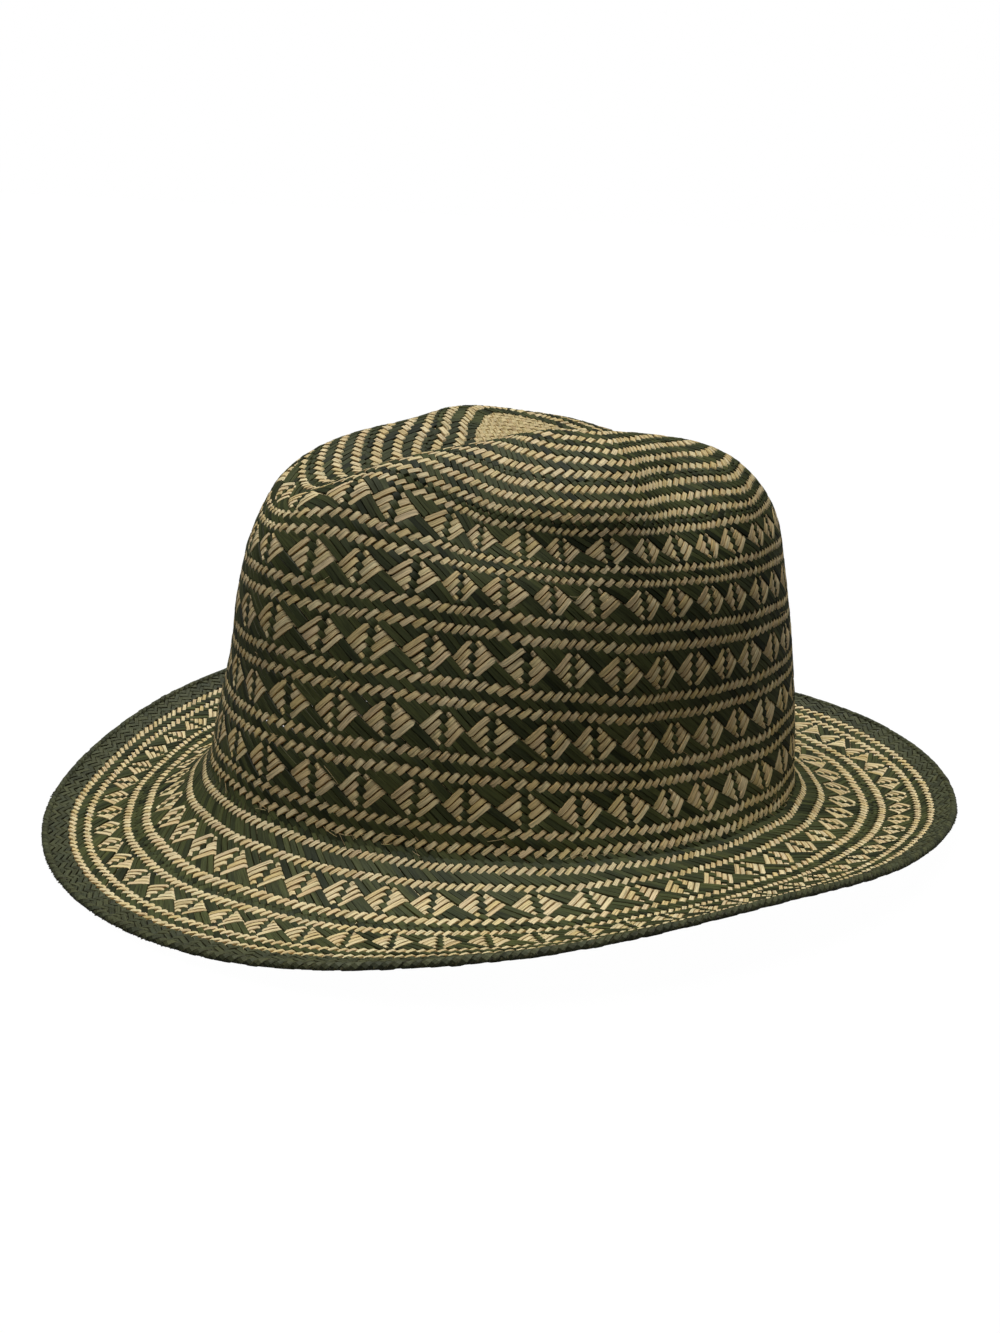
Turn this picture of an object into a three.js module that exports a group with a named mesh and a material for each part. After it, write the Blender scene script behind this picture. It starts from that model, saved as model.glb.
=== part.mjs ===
// A woven straw fedora in two colours, standing on its brim.
// Millimetres, +Z up, the front of the hat towards -Y and the wearer's left towards +X.
// The origin is on the surface that the hat stands on, under the middle of its box.
// The hat is one woven sheet: a crown with a crease and two side dents, the small field at its
// tip where the weave starts, the brim, and the brim's turned and rolled edge.

import * as THREE from 'three';

// Driving sizes of the crown
const CROWN_LENGTH = 208;
const CROWN_WIDTH = 167;
const CROWN_HEIGHT = 120;
const FRONT_BROADENING = 4;
const TIP_RADIUS = 25;
const CREASE_DEPTH = 19;
const CREASE_WIDTH = 61;
const DENT_DEPTH = 13;
const DENT_SETBACK = 18;
const DENT_DROP = 14;
const DENT_LENGTH = 38;
const DENT_HEIGHT = 29;

// Driving sizes of the brim
const BRIM_FRONT = 54;
const BRIM_SIDE = 49;
const BRIM_BACK = 56;
const BRIM_SWING = 20;
const EDGE_BAND = 7.5;

// Walls, roundings and gaps
const CROWN_WALL = 2;
const TIP_WALL = 1.6;
const BRIM_WALL = 1.8;
const EDGE_WALL = 2.4;
const BREAK_ROUNDING = 5;
const STANDING_FLAT = 0.6;
const PIECE_GAP = 0.3;
const EDGE_SWELL = (EDGE_WALL - BRIM_WALL) / 2;

// The way over the surface from the break between crown and brim to the tip, near enough for
// spacing the sections: up the wall, and in over the top less what the rounded shoulder saves.
const SHOULDER_SAVING = 0.129;
const MERIDIAN = CROWN_HEIGHT + CROWN_WIDTH * (0.5 - SHOULDER_SAVING);

// How many flat sides each round has, and how finely the walls are divided from ring to ring
const SIDES = 64;
const CROWN_RINGS = 25;
const TIP_RINGS = 4;
const BRIM_RINGS = 9;

// Sections of the crown before it is creased and dented. "along" is the share of the way from
// the break to the tip. The reach columns are shares of the base oval, and the rise columns
// shares of the crown's height, in front, at the front corners, at the sides and at the back.
const CROWN_SECTIONS = [
  { along: 0.0, reach: [1.0, 1.0, 1.0, 1.0], rise: [0.0, 0.0, 0.0, 0.0] },
  { along: 0.091, reach: [0.981, 0.976, 0.928, 0.998], rise: [0.119, 0.128, 0.105, 0.136] },
  { along: 0.206, reach: [0.956, 0.937, 0.871, 0.968], rise: [0.282, 0.3, 0.259, 0.303] },
  { along: 0.321, reach: [0.958, 0.873, 0.847, 0.922], rise: [0.46, 0.465, 0.43, 0.455] },
  { along: 0.437, reach: [0.93, 0.801, 0.814, 0.867], rise: [0.645, 0.624, 0.601, 0.608] },
  { along: 0.552, reach: [0.851, 0.699, 0.701, 0.799], rise: [0.846, 0.733, 0.724, 0.777] },
  { along: 0.659, reach: [0.686, 0.613, 0.77, 0.665], rise: [0.954, 0.839, 0.835, 0.895] },
  { along: 0.769, reach: [0.468, 0.44, 0.587, 0.491], rise: [0.994, 0.943, 0.931, 0.972] },
  { along: 0.879, reach: [0.24, 0.235, 0.288, 0.253], rise: [1.0, 1.0, 0.98, 1.0] },
  { along: 1.0, reach: [0.0, 0.0, 0.0, 0.0], rise: [1.0, 1.0, 1.0, 1.0] },
];

// The crease from the front lip (-1) to the back (1): its depth, and its half width towards the
// wearer's left and right, as shares of their driving sizes. "place" is a share of half the
// crown's length.
const CREASE_SECTIONS = [
  { place: -1.0, depth: 0.39, left: 0.97, right: 0.97 },
  { place: -0.65, depth: 1.0, left: 0.98, right: 0.98 },
  { place: -0.25, depth: 0.95, left: 0.99, right: 1.0 },
  { place: 0.15, depth: 0.74, left: 1.07, right: 1.33 },
  { place: 0.5, depth: 0.45, left: 1.14, right: 1.75 },
  { place: 0.8, depth: 0.14, left: 1.1, right: 1.6 },
  { place: 1.0, depth: 0.0, left: 1.0, right: 1.2 },
];

// The brim's height against the break at the middle of its width and at its edge, as shares of
// the brim's swing. The bearing is in degrees from the front towards the wearer's left.
const BRIM_SECTIONS = [
  { bearing: 0, middle: -0.87, edge: -1.08 },
  { bearing: 30, middle: -0.675, edge: -0.87 },
  { bearing: 60, middle: -0.435, edge: -0.185 },
  { bearing: 90, middle: -0.17, edge: 0.345 },
  { bearing: 120, middle: -0.09, edge: 0.26 },
  { bearing: 150, middle: -0.185, edge: 0.215 },
  { bearing: 180, middle: -0.175, edge: 0.28 },
  { bearing: 210, middle: -0.05, edge: 0.235 },
  { bearing: 240, middle: 0.03, edge: 0.47 },
  { bearing: 270, middle: -0.095, edge: 0.53 },
  { bearing: 300, middle: -0.51, edge: -0.165 },
  { bearing: 330, middle: -0.875, edge: -0.875 },
];

// The crease and the dents fade in over this band of the crown's height.
const CREASE_FROM = 0.55;
const CREASE_FULL = 0.9;
// The dents fade in this far from the middle plane, as shares of the crown's width.
const DENT_FROM = 0.06;
const DENT_FULL = 0.24;
// How much of its width the brim loses in plan where it dips or lifts
const BRIM_FORESHORTENING = 0.8;

const smoothStep = (from, to, value) => THREE.MathUtils.smoothstep(value, from, to);

// A smooth curve through the values of a table at its keys, with the slope at each key taken
// from its neighbours.
function throughTable(keys, values, at) {
  const last = keys.length - 1;
  const slope = (k) => {
    const low = Math.max(k - 1, 0);
    const high = Math.min(k + 1, last);
    if (k === 0 || k === last) return (values[high] - values[low]) / (keys[high] - keys[low]);
    const before = (values[k] - values[low]) / (keys[k] - keys[low]);
    const after = (values[high] - values[k]) / (keys[high] - keys[k]);
    const backStep = keys[k] - keys[low];
    const foreStep = keys[high] - keys[k];
    return (before * foreStep + after * backStep) / (backStep + foreStep);
  };
  let k = 0;
  while (k < last - 1 && at >= keys[k + 1]) k += 1;
  const step = keys[k + 1] - keys[k];
  const u = (at - keys[k]) / step;
  const u2 = u * u;
  const u3 = u2 * u;
  return (2 * u3 - 3 * u2 + 1) * values[k] + (u3 - 2 * u2 + u) * step * slope(k)
    + (3 * u2 - 2 * u3) * values[k + 1] + (u3 - u2) * step * slope(k + 1);
}

// The shares that the front, front corner, side and back columns have at a bearing. They add
// up to one, and each column is alone at its own place.
function columnShares(bearing) {
  const towardsFront = Math.max(Math.cos(bearing), 0) ** 2;
  const towardsBack = Math.max(-Math.cos(bearing), 0) ** 2;
  const towardsSide = Math.sin(bearing) ** 2;
  const corner = 4 * towardsFront * towardsSide;
  return [towardsFront - corner / 2, corner, towardsSide - corner / 2, towardsBack];
}

const blend = (columns, shares) => columns.reduce((sum, value, k) => sum + value * shares[k], 0);

// The base oval of the crown, or the oval that runs a given distance outside it. On each side
// its front quarter reaches further out than its back one, by the front broadening.
function oval(bearing, outside) {
  const halfWidth = CROWN_WIDTH / 2;
  const broad = 1 + (FRONT_BROADENING / halfWidth) * Math.cos(bearing);
  const broadening = -(FRONT_BROADENING / halfWidth) * Math.sin(bearing);
  const halfLength = CROWN_LENGTH / 2;
  const alongX = halfWidth * (Math.cos(bearing) * broad + Math.sin(bearing) * broadening);
  const alongY = halfLength * Math.sin(bearing);
  const speed = Math.hypot(alongX, alongY);
  return {
    x: halfWidth * Math.sin(bearing) * broad + (outside * alongY) / speed,
    y: -halfLength * Math.cos(bearing) - (outside * alongX) / speed,
  };
}

// A column of the crease's table at a place along it
const creases = (column, along) => throughTable(
  CREASE_SECTIONS.map((section) => section.place),
  CREASE_SECTIONS.map((section) => section[column]),
  along,
);

// Presses the crease into the top and a dent into each side of the crown.
function creaseAndDent(point) {
  const along = THREE.MathUtils.clamp(point.y / (CROWN_LENGTH / 2), -1, 1);
  const depth = CREASE_DEPTH * creases('depth', along);
  const half = (CREASE_WIDTH / 2) * creases(point.x > 0 ? 'left' : 'right', along);
  const across = Math.min(Math.abs(point.x) / half, 1);
  const level = smoothStep(CREASE_FROM * CROWN_HEIGHT, CREASE_FULL * CROWN_HEIGHT, point.z);
  const sink = depth * (0.5 + 0.5 * Math.cos(Math.PI * across)) * level;
  const offMiddle = smoothStep(DENT_FROM * CROWN_WIDTH, DENT_FULL * CROWN_WIDTH, Math.abs(point.x));
  const lengthwise = (point.y - DENT_SETBACK) / (DENT_LENGTH / 2);
  const upright = (point.z - (CROWN_HEIGHT - DENT_DROP)) / (DENT_HEIGHT / 2);
  const press = DENT_DEPTH * Math.exp(-(lengthwise ** 2) - upright ** 2) * offMiddle;
  return new THREE.Vector3(point.x - Math.sign(point.x) * press, point.y, point.z - sink);
}

// A point of the crown's outside, at a share of the way from the break to the tip.
function crownPoint(along, bearing) {
  const shares = columnShares(bearing);
  const keys = CROWN_SECTIONS.map((section) => section.along);
  const reach = throughTable(keys, CROWN_SECTIONS.map((section) => blend(section.reach, shares)), along);
  const rise = throughTable(keys, CROWN_SECTIONS.map((section) => blend(section.rise, shares)), along);
  const base = oval(bearing, 0);
  return creaseAndDent(new THREE.Vector3(base.x * reach, base.y * reach, rise * CROWN_HEIGHT));
}

function brimWidth(bearing) {
  const towardsFront = Math.max(Math.cos(bearing), 0) ** 2;
  const towardsBack = Math.max(-Math.cos(bearing), 0) ** 2;
  return BRIM_FRONT * towardsFront + BRIM_SIDE * Math.sin(bearing) ** 2 + BRIM_BACK * towardsBack;
}

// A value of the brim's table at any bearing. The table is read once more on each side, so that
// the curve closes on itself.
function aroundBrim(column, bearing) {
  const turn = 360;
  const rounds = [-turn, 0, turn];
  const keys = rounds.flatMap((shift) => BRIM_SECTIONS.map((section) => section.bearing + shift));
  const values = rounds.flatMap(() => BRIM_SECTIONS.map((section) => section[column]));
  const degrees = THREE.MathUtils.euclideanModulo(THREE.MathUtils.radToDeg(bearing), turn);
  return BRIM_SWING * throughTable(keys, values, degrees);
}

// A point of the brim's top, at a share of its width. Its height is the parabola through the
// break, the middle and the edge.
function brimPoint(share, bearing) {
  const middle = aroundBrim('middle', bearing);
  const edge = aroundBrim('edge', bearing);
  const z = (4 * middle - edge) * share + (2 * edge - 4 * middle) * share ** 2;
  const over = share * brimWidth(bearing);
  const outside = Math.sqrt(Math.max(over ** 2 - BRIM_FORESHORTENING * z ** 2, 0));
  const onOval = oval(bearing, outside);
  return new THREE.Vector3(onOval.x, onOval.y, z);
}

// A point of the whole sheet's outside. "way" is the distance from the break: up the crown
// where it is negative, out over the brim where it is positive. The break itself is rounded.
function sheetPoint(way, bearing) {
  const sharp = (at) => (at < 0
    ? crownPoint(-at / MERIDIAN, bearing)
    : brimPoint(at / brimWidth(bearing), bearing));
  if (Math.abs(way) >= BREAK_ROUNDING) return sharp(way);
  const u = (way + BREAK_ROUNDING) / (2 * BREAK_ROUNDING);
  return sharp(-BREAK_ROUNDING).multiplyScalar((1 - u) ** 2)
    .addScaledVector(sharp(0), 2 * u * (1 - u))
    .addScaledVector(sharp(BREAK_ROUNDING), u ** 2);
}

// The sheet's outward normal, from the points close by.
const NEARBY_WAY = 0.5;
const NEARBY_BEARING = THREE.MathUtils.degToRad(0.5);
function sheetNormal(way, bearing) {
  const outwards = sheetPoint(way + NEARBY_WAY, bearing).sub(sheetPoint(way - NEARBY_WAY, bearing));
  const around = sheetPoint(way, bearing + NEARBY_BEARING).sub(sheetPoint(way, bearing - NEARBY_BEARING));
  return outwards.cross(around).normalize();
}

// A point inside the sheet, at a depth below its outside.
const below = (way, bearing, depth) => sheetPoint(way, bearing)
  .addScaledVector(sheetNormal(way, bearing), -depth);

const bearings = Array.from({ length: SIDES }, (_, k) => (2 * Math.PI * k) / SIDES);
const spread = (from, to, count) => Array.from({ length: count }, (_, k) => (
  from + ((to - from) * k) / (count - 1)));

// How deep the underside lies below the outside, at a share of the brim's width
function underside(share, bearing) {
  const inBand = (1 - share) * brimWidth(bearing) < EDGE_BAND;
  return inBand ? BRIM_WALL + EDGE_SWELL : BRIM_WALL;
}

// How the hat stands: on the lowest places of the brim in front and at the back. It is tipped
// about X until the two are level, and they are found again each time until they stay the same.
const STANDING_SECTORS = [[-45, 45], [135, 225]];
const SECTOR_STEP = 5;
const STANDING_SHARES = spread(0.1, 1, 19);
const STANDING_ROUNDS = 12;
const sideways = new THREE.Vector3(1, 0, 0);

function lowestUnder([from, to], tip) {
  let lowest = new THREE.Vector3(0, 0, Infinity);
  for (let degrees = from; degrees <= to; degrees += SECTOR_STEP) {
    const bearing = THREE.MathUtils.degToRad(degrees);
    for (const share of STANDING_SHARES) {
      const under = below(share * brimWidth(bearing), bearing, underside(share, bearing));
      under.applyAxisAngle(sideways, tip);
      if (under.z < lowest.z) lowest = under;
    }
  }
  return lowest;
}

function standing() {
  let tip = 0;
  let level = 0;
  for (let round = 0; round < STANDING_ROUNDS; round += 1) {
    const [front, back] = STANDING_SECTORS.map((sector) => lowestUnder(sector, tip));
    level = front.z;
    tip -= Math.atan2(back.z - front.z, back.y - front.y);
  }
  return { tip, level };
}

const { tip, level } = standing();

// Turns a point of the sheet to how the hat stands. Where the brim bears on the surface it is
// flat, so nothing lies below the surface.
function stood(point) {
  const turned = point.clone().applyAxisAngle(sideways, tip);
  turned.z = Math.max(turned.z - level - STANDING_FLAT, 0);
  return turned;
}

// The middle of the hat's box in plan, from the edge of its brim.
function middleInPlan() {
  const box = new THREE.Box3();
  for (const bearing of bearings) box.expandByPoint(stood(edgeNose(bearing)));
  return box.getCenter(new THREE.Vector3()).setZ(0);
}

// The round nose of the rolled edge, in the middle of the wall.
function edgeNose(bearing) {
  return below(brimWidth(bearing), bearing, BRIM_WALL / 2);
}

const underMiddle = middleInPlan();
const place = (point) => stood(point).sub(underMiddle);

// A closed ring body. The section function gives the same number of points for each bearing,
// counted round the wall's section from the outside to the inside.
function ringBody(section) {
  const loops = bearings.map((bearing) => section(bearing).map(place));
  const count = loops[0].length;
  const index = [];
  for (let side = 0; side < SIDES; side += 1) {
    const next = (side + 1) % SIDES;
    for (let k = 0; k < count; k += 1) {
      const far = (k + 1) % count;
      const a = side * count + k;
      const b = next * count + k;
      const c = next * count + far;
      const d = side * count + far;
      index.push(a, d, c, a, c, b);
    }
  }
  return closedGeometry(loops.flat(), index);
}

// A closed cap round the tip: rings of the outside and the inside, each closed by one point.
function capBody(ways, wall) {
  const rings = [
    ...ways.map((way) => bearings.map((bearing) => sheetPoint(way, bearing))),
    ...ways.toReversed().map((way) => bearings.map((bearing) => below(way, bearing, wall))),
  ];
  const points = rings.flat();
  const centre = sheetPoint(-MERIDIAN, 0);
  const outsideCentre = points.length;
  points.push(centre);
  const insideCentre = points.length;
  points.push(centre.clone().setZ(centre.z - wall));
  const order = (ring, side) => ring * SIDES + (side % SIDES);
  const index = [];
  for (let side = 0; side < SIDES; side += 1) {
    index.push(outsideCentre, order(0, side), order(0, side + 1));
    for (let ring = 0; ring < rings.length - 1; ring += 1) {
      const a = order(ring, side);
      const b = order(ring, side + 1);
      const c = order(ring + 1, side + 1);
      const d = order(ring + 1, side);
      index.push(a, d, c, a, c, b);
    }
    index.push(insideCentre, order(rings.length - 1, side + 1), order(rings.length - 1, side));
  }
  return closedGeometry(points.map(place), index);
}

function closedGeometry(points, index) {
  const geometry = new THREE.BufferGeometry().setFromPoints(points);
  geometry.setIndex(index);
  geometry.computeVertexNormals();
  return geometry;
}

// The section of a wall of even thickness, out along its outside and back along its inside.
const wallSection = (ways, wall, bearing) => [
  ...ways.map((way) => sheetPoint(way, bearing)),
  ...ways.toReversed().map((way) => below(way, bearing, wall)),
];

const halfGap = PIECE_GAP / 2;
const roundingWays = [BREAK_ROUNDING * 0.4, BREAK_ROUNDING];

// The crown runs from the break up to the field at the tip.
function crownSection(bearing) {
  const top = -(MERIDIAN - TIP_RADIUS - halfGap);
  const wall = spread(top, -BREAK_ROUNDING, CROWN_RINGS - roundingWays.length);
  return wallSection([...wall, -roundingWays[0], -halfGap], CROWN_WALL, bearing);
}

// The brim runs from the break out to its edge band.
function brimSection(bearing) {
  const end = brimWidth(bearing) - EDGE_BAND - halfGap;
  const flare = spread(BREAK_ROUNDING, end, BRIM_RINGS - roundingWays.length);
  return wallSection([halfGap, roundingWays[0], ...flare], BRIM_WALL, bearing);
}

// The edge band swells from the brim's wall to the thickness of the strands turned back over
// it, and ends in a round nose.
function edgeSection(bearing) {
  const start = brimWidth(bearing) - EDGE_BAND + halfGap;
  const end = brimWidth(bearing) - EDGE_WALL / 2;
  const profile = [
    { way: start, swell: 0 },
    { way: (start + end) / 2, swell: EDGE_SWELL },
    { way: end, swell: EDGE_SWELL },
  ];
  return [
    ...profile.map(({ way, swell }) => below(way, bearing, -swell)),
    edgeNose(bearing),
    ...profile.toReversed().map(({ way, swell }) => below(way, bearing, BRIM_WALL + swell)),
  ];
}

// The field at the tip, where the weave starts, lies at the bottom of the crease.
function tipBody() {
  const rim = MERIDIAN - TIP_RADIUS + halfGap;
  return capBody(spread(-(MERIDIAN - TIP_RADIUS / TIP_RINGS), -rim, TIP_RINGS), TIP_WALL);
}

// Straw as woven: green and natural strands mixed on the crown and the brim, natural alone at
// the tip, green alone along the edge.
const straw = (color) => new THREE.MeshStandardMaterial({ color, roughness: 0.6, metalness: 0 });
const twoToneStraw = straw(0x7d7a58);
const naturalStraw = straw(0xcdb583);
const greenStraw = straw(0x3d4433);

function piece(name, geometry, material) {
  const mesh = new THREE.Mesh(geometry, material);
  mesh.name = name;
  return mesh;
}

const hat = new THREE.Group();
hat.add(
  piece('crown', ringBody(crownSection), twoToneStraw),
  piece('crown_tip', tipBody(), naturalStraw),
  piece('brim', ringBody(brimSection), twoToneStraw),
  piece('brim_edge', ringBody(edgeSection), greenStraw),
);

export default hat;
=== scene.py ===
# %% [markdown]
# # A straw fedora, woven strand by strand
#
# The hat is one continuous braid of split palm straw. Two families of strands run slantwise round
# it, natural ones that lean to the right and dark green ones that lean to the left, and the pattern
# comes only from which of the two lies on top at each crossing. We could paint that pattern on a
# smooth shell, but a straw hat shows every strand as a small raised ribbon with its own shadow. So
# we weave it: a chart says which strand is on top, and each strand becomes a thin ribbon that rises
# and dips along the surface of the hat.

import bpy
import numpy as np
from mathutils import Matrix, Vector


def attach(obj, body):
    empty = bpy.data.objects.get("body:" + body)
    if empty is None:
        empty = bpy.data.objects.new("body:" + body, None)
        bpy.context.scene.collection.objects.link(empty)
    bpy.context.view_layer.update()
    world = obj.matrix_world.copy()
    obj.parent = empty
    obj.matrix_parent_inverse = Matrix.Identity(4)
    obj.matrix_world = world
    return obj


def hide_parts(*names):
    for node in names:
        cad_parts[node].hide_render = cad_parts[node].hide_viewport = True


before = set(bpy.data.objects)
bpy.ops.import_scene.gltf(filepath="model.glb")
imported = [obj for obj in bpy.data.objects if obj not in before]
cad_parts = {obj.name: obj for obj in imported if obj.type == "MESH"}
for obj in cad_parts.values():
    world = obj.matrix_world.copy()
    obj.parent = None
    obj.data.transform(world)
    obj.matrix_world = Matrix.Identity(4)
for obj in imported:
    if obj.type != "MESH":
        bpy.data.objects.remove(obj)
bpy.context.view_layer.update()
print("packed nodes:", sorted(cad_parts))

# %% [markdown]
# ## The camera
#
# The hat was photographed from its left front, a little above the brim. The place, the direction
# and the small roll below come from fitting the hat's outline and its rows of weave to the picture.
# A camera matrix has the directions right, up and back as its columns, so no constraint is needed.

# %% Place the camera
camera_data = bpy.data.cameras.new("hat_camera")
camera_data.lens = 39.5
camera_data.sensor_width = 36
camera_data.shift_x = -0.0079
camera_data.shift_y = -0.0032
camera_data.clip_start = 0.01
camera = bpy.data.objects.new("hat_camera", camera_data)
bpy.context.scene.collection.objects.link(camera)
bpy.context.scene.camera = camera

CAMERA_PLACE = np.array([0.4043, -0.2387, 0.1922])
CAMERA_AZIMUTH, CAMERA_ELEVATION, CAMERA_ROLL = np.radians([60.075, 17.075, 2.798])
back = np.array([
    np.sin(CAMERA_AZIMUTH) * np.cos(CAMERA_ELEVATION),
    -np.cos(CAMERA_AZIMUTH) * np.cos(CAMERA_ELEVATION),
    np.sin(CAMERA_ELEVATION),
])
level_right = np.array([np.cos(CAMERA_AZIMUTH), np.sin(CAMERA_AZIMUTH), 0.0])
level_up = np.cross(back, level_right)
right = level_right * np.cos(CAMERA_ROLL) + level_up * np.sin(CAMERA_ROLL)
up = level_up * np.cos(CAMERA_ROLL) - level_right * np.sin(CAMERA_ROLL)
turned = np.eye(4)
turned[:3, 0], turned[:3, 1], turned[:3, 2], turned[:3, 3] = right, up, back, CAMERA_PLACE
camera.matrix_world = Matrix(turned.tolist())
print("camera stands", round(float(np.linalg.norm(CAMERA_PLACE)), 3), "m from the hat's middle")

# %% [markdown]
# ## The surface that the strands lie on
#
# A hatter blocks the damp braid over a wooden form, presses a crease into the top and pinches the
# front. We describe that blocked surface with two numbers: the way from the break, where the crown
# meets the brim, and the bearing round the head from the front. Every length below is in
# millimetres and is the one that the solid model uses, so the weave lands where the solid is.
# The tables hold shares, and a smooth curve is drawn through each of them. Two shares are not the
# solid's: the reach of the sides at the shoulder, 0.772 and 0.742, makes it as round as on the
# photographed hat, where the solid steps in a few millimetres further.

# %% Sizes and tables of the blocked hat
CROWN_LENGTH, CROWN_WIDTH, CROWN_HEIGHT, FRONT_BROADENING = 208, 167, 120, 4
CREASE_DEPTH, CREASE_WIDTH, CREASE_FROM, CREASE_FULL = 19, 61, 0.55, 0.9
DENT_DEPTH, DENT_SETBACK, DENT_LEVEL, DENT_LENGTH, DENT_HEIGHT = 13, 18, 106, 38, 29
DENT_FROM, DENT_FULL = 0.06, 0.24
BRIM_FRONT, BRIM_SIDE, BRIM_BACK, BRIM_SWING, BRIM_FORESHORTENING = 54, 49, 56, 20, 0.8
BREAK_ROUNDING, SHOULDER_SAVING = 5, 0.129
MERIDIAN = CROWN_HEIGHT + CROWN_WIDTH * (0.5 - SHOULDER_SAVING)

# How far up the crown, then its reach and its rise at the front, front corner, side and back
CROWN_ALONG = np.array([0, 0.091, 0.206, 0.321, 0.437, 0.552, 0.659, 0.769, 0.879, 1])
CROWN_REACH = np.array([
    [1, 1, 1, 1], [0.981, 0.976, 0.928, 0.998], [0.956, 0.937, 0.871, 0.968],
    [0.958, 0.873, 0.847, 0.922], [0.93, 0.801, 0.814, 0.867], [0.851, 0.699, 0.772, 0.799],
    [0.686, 0.613, 0.742, 0.665], [0.468, 0.44, 0.587, 0.491], [0.24, 0.235, 0.288, 0.253],
    [0, 0, 0, 0],
])
CROWN_RISE = np.array([
    [0, 0, 0, 0], [0.119, 0.128, 0.105, 0.136], [0.282, 0.3, 0.259, 0.303],
    [0.46, 0.465, 0.43, 0.455], [0.645, 0.624, 0.601, 0.608], [0.846, 0.733, 0.724, 0.777],
    [0.954, 0.839, 0.835, 0.895], [0.994, 0.943, 0.931, 0.972], [1, 1, 0.98, 1], [1, 1, 1, 1],
])
# Place along the crease, its depth, and its width to the left and to the right
CREASE = np.array([
    [-1, 0.39, 0.97, 0.97], [-0.65, 1, 0.98, 0.98], [-0.25, 0.95, 0.99, 1],
    [0.15, 0.74, 1.07, 1.33], [0.5, 0.45, 1.14, 1.75], [0.8, 0.14, 1.1, 1.6], [1, 0, 1, 1.2],
])
# Bearing in degrees, and the height of the brim's middle and of its edge
BRIM = np.array([
    [0, -0.87, -1.08], [30, -0.675, -0.87], [60, -0.435, -0.185], [90, -0.17, 0.345],
    [120, -0.09, 0.26], [150, -0.185, 0.215], [180, -0.175, 0.28], [210, -0.05, 0.235],
    [240, 0.03, 0.47], [270, -0.095, 0.53], [300, -0.51, -0.165], [330, -0.875, -0.875],
])
print("from the break to the tip:", round(MERIDIAN, 2), "mm")


# %% Curves through the tables
def smooth_step(low, high, value):
    """Rises from 0 at low to 1 at high, with level ends: 3u^2 - 2u^3."""
    u = np.clip((value - low) / (high - low), 0, 1)
    return u * u * (3 - 2 * u)


def through(keys, values, t):
    """A smooth curve through a table, by cubic pieces whose slopes are the table's own."""
    slopes = np.gradient(values, keys, axis=0)
    k = np.clip(np.searchsorted(keys, t, side="right") - 1, 0, len(keys) - 2)
    step = keys[k + 1] - keys[k]
    u = (t - keys[k]) / step
    if values.ndim > 1:
        u, step = u[..., None], step[..., None]
    start = (1 + 2 * u) * (1 - u) ** 2 * values[k] + u * (1 - u) ** 2 * step * slopes[k]
    end = (3 - 2 * u) * u**2 * values[k + 1] - (1 - u) * u**2 * step * slopes[k + 1]
    return start + end


def shares_round(bearing):
    """What the front, front corner, side and back columns count for at a bearing."""
    front = np.maximum(np.cos(bearing), 0) ** 2
    rear = np.maximum(-np.cos(bearing), 0) ** 2
    side = np.sin(bearing) ** 2
    corner = 4 * front * side
    return np.stack([front - corner / 2, corner, side - corner / 2, rear], -1)


def head_oval(bearing, outside):
    """The crown's base oval, moved outside along its own normal."""
    lean = 2 * FRONT_BROADENING / CROWN_WIDTH
    broad = 1 + lean * np.cos(bearing)
    half_width, half_length = CROWN_WIDTH / 2, CROWN_LENGTH / 2
    run_x = half_width * (np.cos(bearing) * broad - lean * np.sin(bearing) ** 2)
    run_y = half_length * np.sin(bearing)
    speed = np.hypot(run_x, run_y)
    x = half_width * np.sin(bearing) * broad + outside * run_y / speed
    return x, -half_length * np.cos(bearing) - outside * run_x / speed


# %% The crown, its crease and its dents
def crown_surface(along, bearing):
    """The oval shrunk and lifted by the tables, then creased and pinched in."""
    mix = shares_round(bearing)
    reach = (through(CROWN_ALONG, CROWN_REACH, along) * mix).sum(-1)
    rise = (through(CROWN_ALONG, CROWN_RISE, along) * mix).sum(-1) * CROWN_HEIGHT
    x, y = head_oval(bearing, 0)
    x, y = x * reach, y * reach
    crease = through(CREASE[:, 0], CREASE[:, 1:], np.clip(2 * y / CROWN_LENGTH, -1, 1))
    depth, left, right_hand = crease[..., 0], crease[..., 1], crease[..., 2]
    half = CREASE_WIDTH / 2 * np.where(x > 0, left, right_hand)
    across = np.minimum(np.abs(x) / half, 1)
    level = smooth_step(CREASE_FROM * CROWN_HEIGHT, CREASE_FULL * CROWN_HEIGHT, rise)
    sink = CREASE_DEPTH * depth * (0.5 + 0.5 * np.cos(np.pi * across)) * level
    off_middle = smooth_step(DENT_FROM * CROWN_WIDTH, DENT_FULL * CROWN_WIDTH, np.abs(x))
    lengthwise = 2 * (y - DENT_SETBACK) / DENT_LENGTH
    upright = 2 * (rise - DENT_LEVEL) / DENT_HEIGHT
    press = DENT_DEPTH * np.exp(-(lengthwise**2) - upright**2) * off_middle
    return np.stack([x - np.sign(x) * press, y, rise - sink], -1)


# %% The brim
def brim_width(bearing):
    """The brim's width, blended between its front, side and back."""
    front = np.maximum(np.cos(bearing), 0) ** 2
    rear = np.maximum(-np.cos(bearing), 0) ** 2
    return BRIM_FRONT * front + BRIM_SIDE * np.sin(bearing) ** 2 + BRIM_BACK * rear


ROUND_KEYS = np.concatenate([BRIM[:, 0] + turn for turn in (-360, 0, 360)])
ROUND_HEIGHTS = BRIM_SWING * np.tile(BRIM[:, 1:], (3, 1))


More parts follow.
